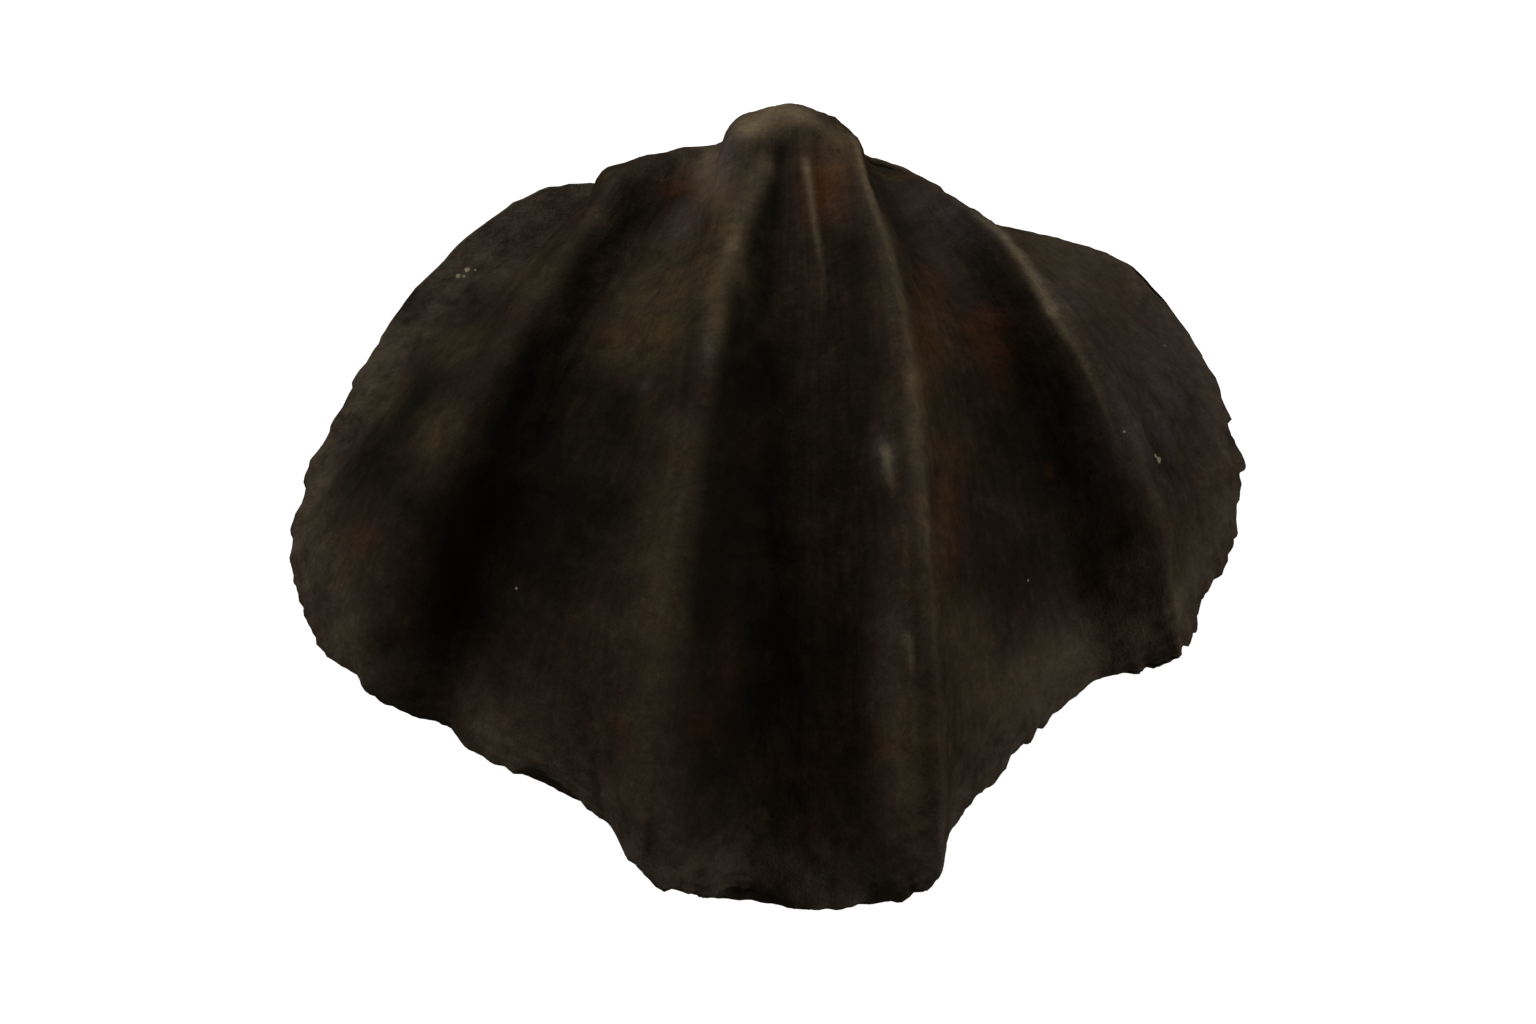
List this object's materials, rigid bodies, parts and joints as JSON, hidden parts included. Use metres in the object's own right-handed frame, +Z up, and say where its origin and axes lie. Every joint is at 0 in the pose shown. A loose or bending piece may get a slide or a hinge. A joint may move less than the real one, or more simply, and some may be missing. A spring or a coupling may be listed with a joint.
{
  "type": "brachiopod fossil",
  "caption": "Dark fossil seashell with a stout beak, a broad middle trough and sharp ribs fanning out to a zigzag edge; a small natural prop that lies on its back.",
  "frame": {"origin": "middle of the bounding box's floor, under the middle of the shell", "axes": "+Z up from the lower valve to the upper one, +Y towards the beak and hinge, +X to the right wing as seen from the front edge"},
  "size_m": [0.036, 0.0314, 0.018],
  "materials": {
    "fossil_stone": "matte"
  },
  "bodies": {
    "root": {"brachiopod_fossil": "fossil_stone"}
  },
  "joints": []
}
